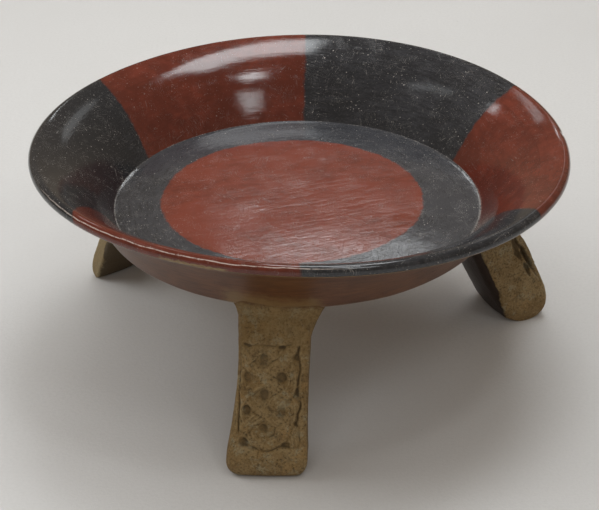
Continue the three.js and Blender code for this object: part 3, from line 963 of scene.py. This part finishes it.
def slip_finish(name, zone):
    """Burnished slip inside and thin brown slip outside. zone is floor, wall or lip."""
    tint = bpy.context.scene.plate_colours
    red_span, ink_span, stroke_height, (hair_share, grain_share), polish = ZONES[zone]
    f = Finish(name)
    place = f.place()
    x, y, z = f.parts(place)
    radius = f.math("SQRT", x * x + y * y)
    paint = f.noted("paint")

    # Strokes run round the wall, and straight across the disc
    round_unit = f.join(x / radius * 16, y / radius * 16, radius + z * 0.6)
    fine_unit = f.join(x / radius * 34, y / radius * 34, (radius + z * 0.6) * 1.4)
    cloud = f.noise(place, 26.0, 4.0, 0.6)
    small_cloud = f.noise(place, 5.0, 3.0, 0.6)
    grain = f.noise(place, 0.75, 2.0, 0.6)
    strokes = f.noise(round_unit, 1.5, 3.0, 0.6)
    hair = f.noise(fine_unit, 0.5, 2.0, 0.6)
    wobble = (f.noise(place, 7.0, 3.0, 0.65) - 0.5) * 3.2 + (grain - 0.5) * 1.6

    if zone == "floor":
        disc_x, disc_y = x - DISC_X, y - DISC_Y
        disc_radius = f.math("SQRT", disc_x * disc_x + disc_y * disc_y)
        black = (disc_radius - DISC_RADIUS + wobble).ease(-0.7, 0.7)
        disc_strokes = f.strokes(place, -17, 15, 2.4, 3.0, 0.5)
        disc_hair = f.strokes(place, -30, 9, 0.8, 2.0, 0.4)
        # Only some of the burnishing strokes still shine
        shiny = f.strokes(place, -22, 14, 1.1, 2.0, 0.4).ease(0.47, 0.60)
        dull = (1 - shiny) * (1 - black)
        strokes = disc_strokes + (strokes - disc_strokes) * black
        hair = disc_hair + (hair - disc_hair) * black
    else:
        left, back, front = (painted_field(f, x, y, radius, wobble, *field) for field in BLACK_FIELDS)
        black = left.most(back).most(front).ease(-0.9, 0.9)

    thin_red = cloud * 0.9 + small_cloud * 0.55 + strokes * 0.35
    red = f.mix(tint.red_dark, tint.red, thin_red.ease(*red_span))
    # The black is darkened on the left of the wall: painted shade
    ink_thin_and_painted_light = cloud * 0.5 + strokes * 0.6 + hair * 0.35 - x.ease(-60, -90) * 0.2
    ink = f.mix(tint.black, tint.black_pale, ink_thin_and_painted_light.ease(*ink_span))
    inside = f.mix(red, ink, black)

    # Rubbed ring on the ridge between floor and wall
    off_x = x + RIDGE_SHIFT
    ring = (f.math("SQRT", off_x * off_x + y * y) - RING_RADIUS).size()
    ring_noise = f.noise(place, 3.4, 3.0, 0.7)
    right = f.math("ARCTAN2", y + 10, off_x).size().ease(0.55, 0.1)
    left_side = f.math("ARCTAN2", y + 6, off_x * -1).size().ease(0.75, 0.2)
    rubbed_width = 0.34 + right * 0.5 + left_side * 0.12
    ring_wear = ((ring + (ring_noise - 0.5) * right * 1.6) / rubbed_width).ease(1.1, 0.3)
    broken = (ring_noise * 0.5 + grain * 0.5 + right * 0.10 + left_side * 0.07).ease(0.48, 0.66)

    # Specks and scratches are thicker on the black slip
    thick = f.noise(place, 17.0, 2.0).ease(0.30, 0.56)
    where = thick * (black * 0.6 + 0.4)
    worn = specks(f, place, 2.1, 0.10, where)
    worn = worn.most(specks(f, place, 1.3, 0.26, where) * 0.9)
    worn = worn.most(specks(f, place, 0.85, 0.36, where) * 0.75)
    worn = worn.most(scratches(f, place, (18, 74, 131), 13.0, 0.7, 0.006) * (0.30 + black * 0.25))
    if zone == "floor":
        worn = worn.most(scratches(f, place, (-12, 48, 96), 22.0, 0.9, 0.0045) * 0.45)
    worn = worn.most(ring_wear * broken * 0.5)
    haze = (hair * 0.6 + grain * 0.5).ease(0.5, 0.95) * black * 0.25

    inside = f.mix(inside, tint.rubbed, haze * 0.35)
    inside = f.mix(inside, tint.rubbed, worn * 0.8)

    # Outside: thin brown slip over buff clay, with the clay showing where the lip is rubbed
    thin = (f.noise(place, 20.0, 4.0, 0.6) * 0.5 + strokes * 0.7).ease(0.45, 0.78)
    brown = f.mix(tint.underside, tint.underside_pale, thin)
    outer_specks = specks(f, place, 1.7, 0.1, f.noise(place, 14.0, 1.0).ease(0.4, 0.65))
    brown = f.mix(brown, tint.clay, outer_specks * 0.5)
    smear = (f.noted("head") + (ring_noise - 0.5) * 9.0).ease(7.5, 1.5)
    brown = f.mix(brown, tint.clay, smear * 0.75)
    from_left = f.math("ARCTAN2", y * -1, x * -1) * (1 / DEGREE)
    patch_far = (from_left - (PATCH_BEARING - 180)).size()
    patch = (patch_far + (f.noise(place, 5.0, 3.0, 0.7) - 0.5) * 9).ease(8.0, 5.5)
    patch = patch * (paint + (ring_noise - 0.5) * 3).ease(1.6, 0.9)
    patch = patch * (paint + (ring_noise - 0.5) * 2).ease(-4.6, -4.0)
    bare_edge = (paint + (ring_noise - 0.5) * 1.2 + 0.9).size().ease(1.1, 0.5)
    bare_edge = bare_edge * (1 - paint.ease(-0.4, 0.4))
    outside = f.mix(brown, tint.clay, bare_edge * 0.9)
    edge = (paint + (f.noise(place, 2.2, 2.0, 0.6) - 0.5) * 0.9).ease(-0.2, 0.2)
    colour = f.mix(outside, inside, edge)
    if zone == "lip":
        # A thin broken highlight is painted along the crest of the near side
        crest = (paint - CREST_HIGHLIGHT_LINE + (f.noise(place, 11.0, 2.0) - 0.5) * 1.6).size().ease(0.36, 0.08)
        crest = crest * y.ease(-35, -80) * x.ease(25, -5)
        crest = crest * (ring_noise * 0.6 + grain * 0.4).ease(0.34, 0.54)
        colour = f.mix(colour, tint.crest, crest * 0.65)
    if zone != "floor":
        colour = f.mix(colour, f.mix(tint.clay, tint.clay_pale, ring_noise.ease(0.3, 0.7)), patch * 0.9)

    holes, pick = f.spots(place, 2.6)
    pin = (holes / (0.05 + pick * 0.22)).ease(1.0, 0.5) * pick.ease(0.3, 0.25)
    strokes_height = (strokes + small_cloud * 0.6 + hair * hair_share) * stroke_height
    height = strokes_height + grain * grain_share - pin * 0.35 - worn * 0.10
    normal = f.bump(height, 0.16)
    gloss = hair * 0.06 + (grain - 0.5) * 0.08 + worn * 0.3 + pin * 0.2 + (1 - edge) * 0.3 + polish
    if zone == "floor":
        gloss = gloss + dull * 0.08
    return f.done(colour, gloss, normal, 0.5)


def clay_finish(name, luting):
    """Unpolished clay with dirt in its hollows and dark slip on the inner faces."""
    tint = bpy.context.scene.plate_colours
    f = Finish(name)
    place = f.place()
    cloud = f.noise(place, 14.0, 3.0, 0.6)
    patch = f.noise(place, 4.5, 4.0, 0.65)
    grain = f.noise(place, 0.9, 3.0, 0.7)
    sand = f.noise(place, 0.35, 1.0, 0.5)
    hollow = f.noted("hollow")
    high = f.parts(place)[2].ease(42.0, 60.0)
    clay = f.mix(tint.clay, tint.clay_pale, (cloud * 0.5 + patch * 0.5 + grain * 0.35).ease(0.5, 1.0))
    # Blotches: colour, size, detail, roughness, what makes the edge ragged and how much, range, share
    blotches = (
        (tint.clay_ochre, 8.0, 3.0, 0.6, patch, 0.5, (0.54, 0.66), 0.5),
        (tint.clay_stain, 6.0, 4.0, 0.7, grain, 0.4, (0.52, 0.66), 0.65),
        (tint.clay_ash, 5.2, 3.0, 0.6, grain, 0.5, (0.54, 0.68), 0.5),
    )
    for blotch_colour, size, detail, roughness, edge, ragged, span, share in blotches:
        blotch = (f.noise(place, size, detail, roughness) + (edge - 0.5) * ragged).ease(*span)
        clay = f.mix(clay, blotch_colour, blotch * share)
    fleck = f.noise(place, 1.0, 3.0, 0.75)
    clay = f.mix(clay, tint.soot, fleck.ease(0.48, 0.34) * 0.7)
    clay = f.mix(clay, tint.clay_pale, (fleck + (cloud - 0.5) * 0.2).ease(0.52, 0.66) * 0.75)
    # Painted shade: the clay darkens towards the top of each support, where the bowl shades it
    clay = f.mix(clay, tint.clay_head, high * 0.4)
    # Painted light: the left support's clay is made paler, as if lit from the left
    clay = f.mix(clay, tint.clay_left, f.parts(place)[0].ease(-66.0, -82.0) * 0.6)
    # Painted shade where the surface lies below its blurred stamp, and rubbed paler on its raised ridges
    line_shade_and_wear = f.noted("line") * (patch * 2.4 + fleck * 1.2 - 1.0) + (grain - 0.5) * 0.12
    clay = f.mix(clay, tint.clay_pale, line_shade_and_wear.ease(-0.05, -0.22) * 0.55)
    clay = f.mix(clay, tint.soot, line_shade_and_wear.ease(0.05, 0.34) * 0.6)
    # Painted shade in the stamped hollows and chips, broken up by blotches
    soot = (hollow + (patch - 0.5) * 2.2 + (fleck - 0.5) * 2.4).ease(0.45, 1.55)
    clay = f.mix(clay, tint.soot, soot * 0.68)
    far, pick = f.spots(place, 1.9)
    pit = (far / (0.05 + pick * 0.5)).ease(1.0, 0.6) * pick.ease(0.24, 0.2)
    clay = f.mix(clay, tint.soot, pit * 0.7)

    inner = f.noted("inner") + (f.noise(place, 5.0, 3.0, 0.65) - 0.5) * 2.2
    dark = inner.ease(-0.25, 0.3)
    slip = f.mix(tint.dark_slip, tint.dark_slip_pale, (cloud * 0.6 + grain * 0.5).ease(0.5, 0.9))
    colour = f.mix(clay, slip, dark * f.noted("cover"))
    height = grain * 0.4 + fleck * 0.7 + sand * 0.3 + patch * 0.5 - pit * 0.8
    if luting:
        seam = (f.noted("below") - 0.7 + (patch - 0.5) * 4.0).ease(1.2, -1.0)
        colour = f.mix(colour, tint.underside, seam * 0.55)
    bare = 1 - dark
    gloss = 0.45 + bare * 0.32 + (grain - 0.5) * 0.1
    return f.done(colour, gloss, f.bump(height * (bare * 0.7 + 0.3), 0.6), 0.35)


# Stage

LAMP_DISTANCE = 1.3
PLATE_MIDDLE = Vector((0.0, 0.0, 0.07))

# Camera: place in metres, pitch, yaw and roll in radians, and sensor width in millimetres
CAMERA_PLACE = (0.0, -0.7949, 0.4963)
CAMERA_TURNS = (0.51639, -0.00045, -0.00836)
SENSOR_WIDTH = 36.0

# Broad lamps, which mirrored rays don't see: direction from the plate, width and depth, share of the
# soft power
SOFT_LAMPS = {
    "soft_overhead": ((-0.12, 0.12, 0.98), (1.1, 0.8), 1.05),
    "soft_left": ((-0.75, 0.20, 0.62), (0.8, 0.8), 1.25),
    "soft_front": ((-0.1, -0.80, 0.60), (0.8, 0.8), 0.7),
    "soft_behind": ((0.05, 0.60, 0.80), (0.7, 0.35), 0.60),
    "low_back": ((0.0, 0.954, 0.30), (0.44, 0.24), 0.04),
}
# Small lamps, which give the highlights: direction, width and depth, share of the panel power
PANELS = {
    "panel_long": ((0.139, 0.271, 0.952), (0.50, 0.36), 1.0),
    "panel_square": ((0.352, -0.530, 0.772), (0.22, 0.26), 0.22),
    "panel_strip": ((0.241, -0.204, 0.949), (0.17, 0.17), 0.24),
    "panel_left_back": ((-0.429, 0.613, 0.664), (0.15, 0.09), 0.045),
    "panel_far_left": ((-0.53, 0.17, 0.83), (0.08, 0.42), 0.037),
    "panel_rim": ((-0.143, 0.755, 0.64), (0.05, 0.20), 0.014),
    "panel_right_back": ((0.285, 0.79, 0.545), (0.13, 0.46), 0.026),
    "panel_back": ((0.03, 0.85, 0.522), (0.26, 0.028), 0.034),
}


def area_lamp(name, direction, size, power, tone, mirrored):
    """A lamp that shines at the plate, its width level. Those behind the plate are oval."""
    data = bpy.data.lights.new(name, "AREA")
    data.shape = "ELLIPSE" if "back" in name else "RECTANGLE"
    data.size, data.size_y = size
    data.energy = power
    data.color = tone
    lamp = bpy.data.objects.new(name, data)
    away = Vector(direction).normalized()
    across = Vector((1, 0, 0))
    across = (across - across.dot(away) * away).normalized()
    turn = Matrix((across, away.cross(across), away)).transposed().to_4x4()
    lamp.matrix_world = Matrix.Translation(PLATE_MIDDLE + away * LAMP_DISTANCE) @ turn
    lamp.visible_glossy = mirrored
    bpy.context.scene.collection.objects.link(lamp)


def floor_finish():
    """Pale floor with faint clouds, fibres and a few dots."""
    tint = bpy.context.scene.stage_setting
    f = Finish("pale_floor")
    place = f.place()
    cloud = f.noise(place, 160.0, 3.0)
    fibre = f.noise(place, 1.6, 3.0, 0.7)
    speck, pick = f.spots(place, 16.0)
    dot = (speck / (0.02 + pick * 0.12)).ease(1.0, 0.4) * pick.ease(0.3, 0.26)
    pale = f.mix(tint.floor, [c * 0.96 for c in tint.floor], cloud.ease(0.3, 0.7))
    pale = f.mix(pale, [c * 0.93 for c in tint.floor], fibre.ease(0.35, 0.8))
    pale = f.mix(pale, [c * 0.55 for c in tint.floor], dot * 0.5)
    return f.done(pale, 0.75, f.bump(fibre, 0.25, 0.5), 0.25)


class PLATE_OT_bowl(bpy.types.Operator):
    """Builds the floor, the wall and the lip of the bowl"""

    bl_idname = "plate.bowl"
    bl_label = "Bowl"

    def execute(self, context):
        bowl = Bowl()
        size = bowl.size
        inside, outside, seam = bowl.inside, bowl.outside, bowl.seam
        ridge_foot = (size.floor_radius - 2.6, size.floor_level)
        ridge = bezier([ridge_foot, (size.floor_radius - 1.3, size.floor_level), inside[0]], 7)
        floor_outline = np.concatenate(
            [
                line((0, size.floor_level), ridge_foot, 32)[:-1],
                ridge[:-1],
                line(inside[0], outside[0], 5)[:-1],
                bowl.turn_in[:-1],
                line((size.base_radius, size.base_level), (0, size.base_level), 24),
            ]
        )
        joint = line(inside[seam], outside[seam], 5)[:-1]
        wall_outline = np.concatenate(
            [inside[:seam], joint, outside[seam:0:-1], line(outside[0], inside[0], 5)[:-1]]
        )
        slope = bowl.LIP_SLOPE
        roll = arc(bowl.lip, size.lip_radius, slope - math.pi / 2, slope + math.pi / 2, 25)
        lip_outline = np.concatenate([joint, outside[seam:-1], roll[:-1], inside[:seam:-1]])
        bowl_piece("bowl_floor", "floor", floor_outline, bowl, "floor_slip", "floor_disc")
        bowl_piece("bowl_wall", "wall", wall_outline, bowl, "wall_slip", "wall_ring")
        bowl_piece("bowl_lip", "lip", lip_outline, bowl, "rim_slip", "rim_coil")
        return {"FINISHED"}


# Side edges of the supports: height, and how far to the right of the middle the edge is there
FRONT_LEFT = [
    (0, -15.2), (2, -16.8), (5, -17.8), (7, -18.1), (10, -17.7), (15, -16.9), (20, -16.2),
    (25, -15.7), (30, -15.2), (35, -14.75), (45, -14.5), (50, -14.6), (56, -14.9), (66, -15.4),
]
FRONT_RIGHT = [
    (0, 13.2), (2, 14.9), (5, 16.1), (7, 16.7), (10, 16.4), (15, 16.0), (20, 15.6),
    (30, 15.35), (40, 15.2), (50, 15.3), (60, 15.6), (66, 15.8),
]
PLAIN_EDGE = [(0, 15.6), (2, 16.4), (5, 16.9), (9, 17.0), (15, 16.6), (25, 15.9), (38, 15.4), (66, 15.3)]


class PLATE_OT_supports(bpy.types.Operator):
    """Builds the three stamped supports and the clay that joins them to the bowl"""

    bl_idname = "plate.supports"
    bl_label = "Supports"

    def execute(self, context):
        bowl = Bowl()
        scene = context.scene
        clay, smear = clay_finish("bare_clay", False), clay_finish("luting_clay", True)
        plain_left = [(z, -y) for z, y in PLAIN_EDGE]
        supports = {
            "front": Support(scene.front_support, FRONT_LEFT, FRONT_RIGHT, "front", bowl, 31),
            "right": Support(scene.right_support, plain_left, PLAIN_EDGE, "left", bowl, 41),
            "left": Support(scene.left_support, plain_left, PLAIN_EDGE, "right", bowl, 51),
        }
        for where, support in supports.items():
            support.build(f"support_of_{where}", clay, f"support_{where}")
            support.luting(f"smear_of_{where}", smear, f"luting_{where}")
        return {"FINISHED"}


class PLATE_OT_stage(bpy.types.Operator):
    """Sets the floor, the lamps and the camera"""

    bl_idname = "plate.stage"
    bl_label = "Stage"

    def execute(self, context):
        setting = context.scene.stage_setting
        bm = bmesh.new()
        bmesh.ops.create_grid(bm, x_segments=8, y_segments=8, size=4.0)
        mesh = bpy.data.meshes.new("stage_floor")
        bm.to_mesh(mesh)
        bm.free()
        mesh.materials.append(floor_finish())
        floor = bpy.data.objects.new("stage_floor", mesh)
        context.scene.collection.objects.link(floor)

        for lamps, power in ((SOFT_LAMPS, setting.soft_power), (PANELS, setting.panel_power)):
            for name, (direction, span, share) in lamps.items():
                area_lamp(name, direction, span, power * share, setting.lamp, lamps is PANELS)

        world = bpy.data.worlds.new("soft_sky")
        world.use_nodes = True
        sky = world.node_tree.nodes["Background"]
        sky.inputs["Color"].default_value = (*setting.sky, 1.0)
        sky.inputs["Strength"].default_value = setting.sky_light
        context.scene.world = world

        pitch, yaw, roll = CAMERA_TURNS
        data = bpy.data.cameras.new("camera")
        data.sensor_width = SENSOR_WIDTH
        data.lens = setting.focal_length
        camera = bpy.data.objects.new("camera", data)
        level = math.cos(pitch)
        forward = Vector((math.sin(yaw) * level, math.cos(yaw) * level, -math.sin(pitch)))
        right = forward.cross(Vector((0, 0, 1))).normalized()
        up = right.cross(forward)
        cos, sin = math.cos(roll), math.sin(roll)
        right, up = cos * right + sin * up, cos * up - sin * right
        turn = Matrix((right, up, -forward)).transposed().to_4x4()
        camera.matrix_world = Matrix.Translation(CAMERA_PLACE) @ turn
        context.scene.collection.objects.link(camera)
        context.scene.camera = camera
        context.scene.view_settings.view_transform = "Standard"
        return {"FINISHED"}


class PLATE_PT_panel(bpy.types.Panel):
    """Lists the plate's pieces and sizes"""

    bl_idname = "PLATE_PT_panel"
    bl_label = "Tripod plate"
    bl_space_type = "VIEW_3D"
    bl_region_type = "UI"
    bl_category = "Plate"

    def draw(self, context):
        for operator in OPERATORS:
            self.layout.operator(operator.bl_idname)
        for name in GROUPS:
            group = getattr(context.scene, name)
            box = self.layout.box()
            box.label(text=type(group).__name__)
            for key in group.__annotations__:
                box.prop(group, key)


GROUPS = {
    "bowl_shape": BowlShape,
    "front_support": FrontSupport,
    "right_support": RightSupport,
    "left_support": LeftSupport,
    "stamp_shape": StampShape,
    "plate_colours": Colours,
    "stage_setting": StageSetting,
}
OPERATORS = (PLATE_OT_stage, PLATE_OT_bowl, PLATE_OT_supports)
CLASSES = (*GROUPS.values(), *OPERATORS, PLATE_PT_panel)


def register():
    for cls in CLASSES:
        bpy.utils.register_class(cls)
    for name, group in GROUPS.items():
        setattr(bpy.types.Scene, name, PointerProperty(type=group))


def unregister():
    for name in GROUPS:
        delattr(bpy.types.Scene, name)
    for cls in reversed(CLASSES):
        bpy.utils.unregister_class(cls)


def main():
    register()
    bpy.ops.plate.stage()
    bpy.ops.plate.bowl()
    bpy.ops.plate.supports()


if __name__ == "__main__":
    main()
